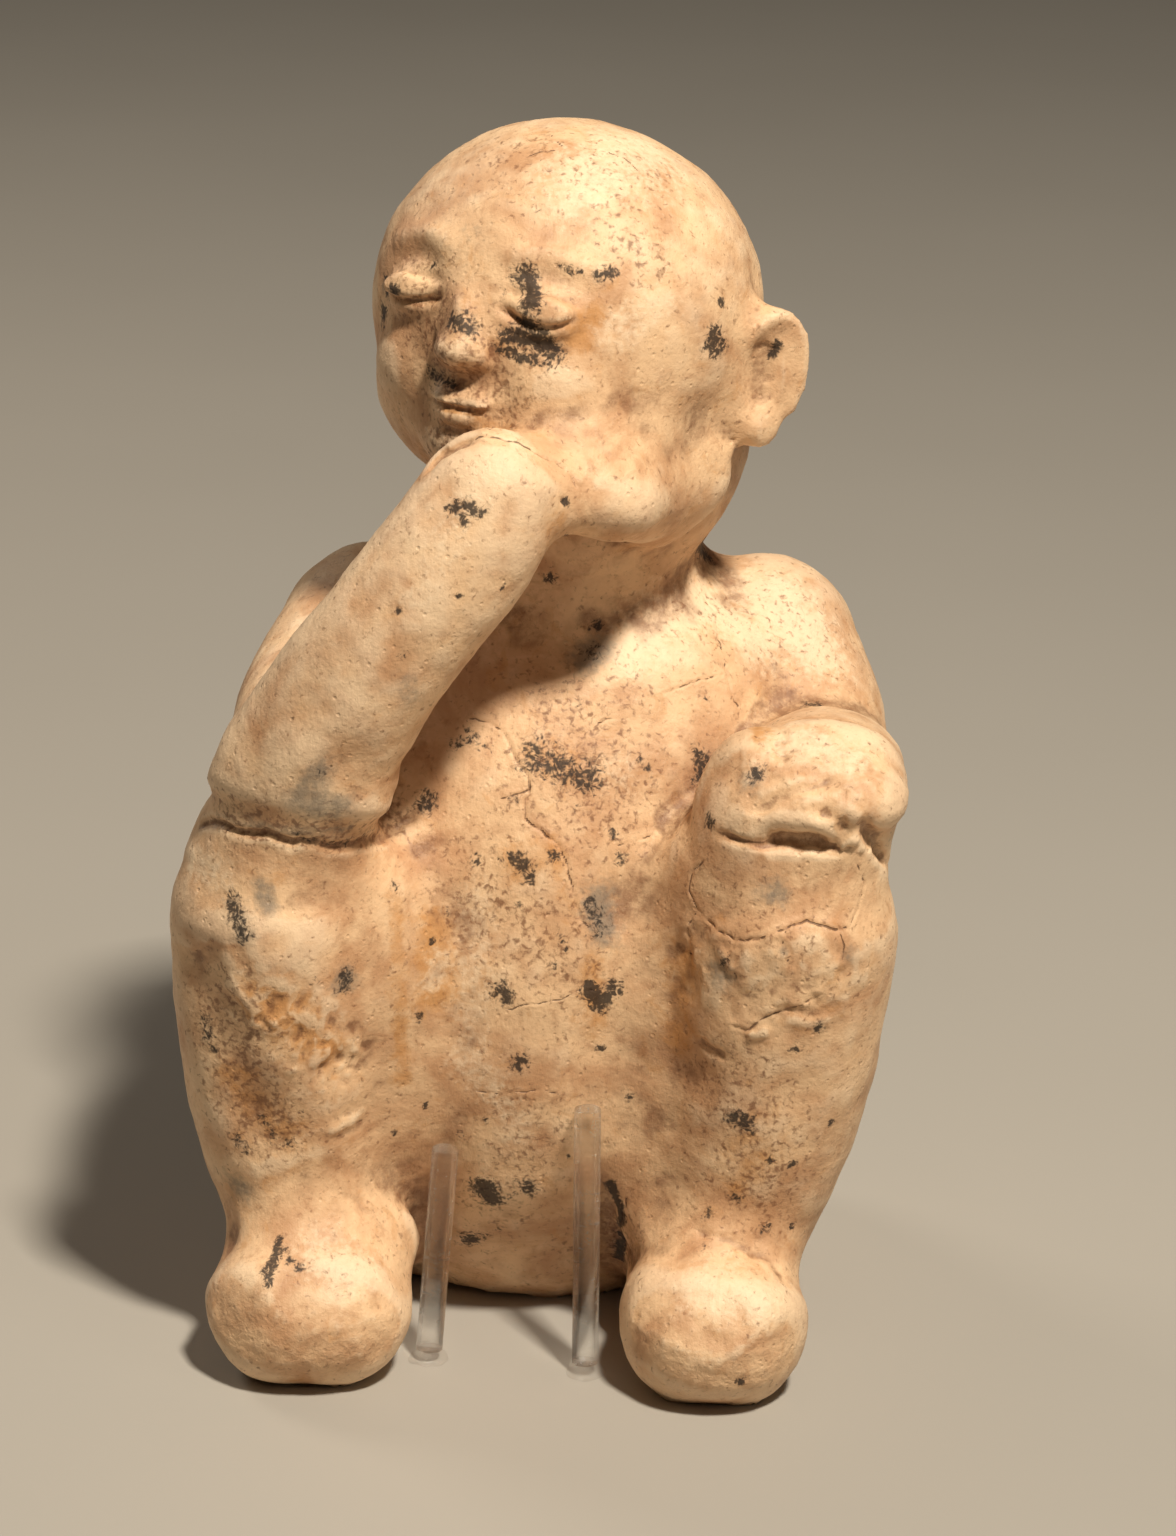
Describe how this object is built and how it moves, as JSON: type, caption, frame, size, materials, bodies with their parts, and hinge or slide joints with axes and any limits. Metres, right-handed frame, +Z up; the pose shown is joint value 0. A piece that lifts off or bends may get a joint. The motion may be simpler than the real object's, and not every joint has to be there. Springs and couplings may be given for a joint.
{
  "type": "ceramic child figure",
  "caption": "Hand-modelled fired clay figure of a bald child squatting with one hand raised to its mouth and the other on its knee, with clear supporting rods in front.",
  "frame": {"origin": "on the ground under the middle of the figure's box", "axes": "+Z up, the figure's front faces -Y, its left side is towards +X"},
  "size_m": [0.0864, 0.0778, 0.1464],
  "materials": {
    "fired_clay": "cream slip, lightly burnished, worn and stained",
    "clear_acrylic": "clear, polished",
    "clear_glue": "clear, slightly cloudy"
  },
  "bodies": {
    "root": {"figure": "fired_clay", "right_rod": "clear_acrylic", "left_rod": "clear_acrylic", "right_glue": "clear_glue", "left_glue": "clear_glue"}
  },
  "joints": []
}
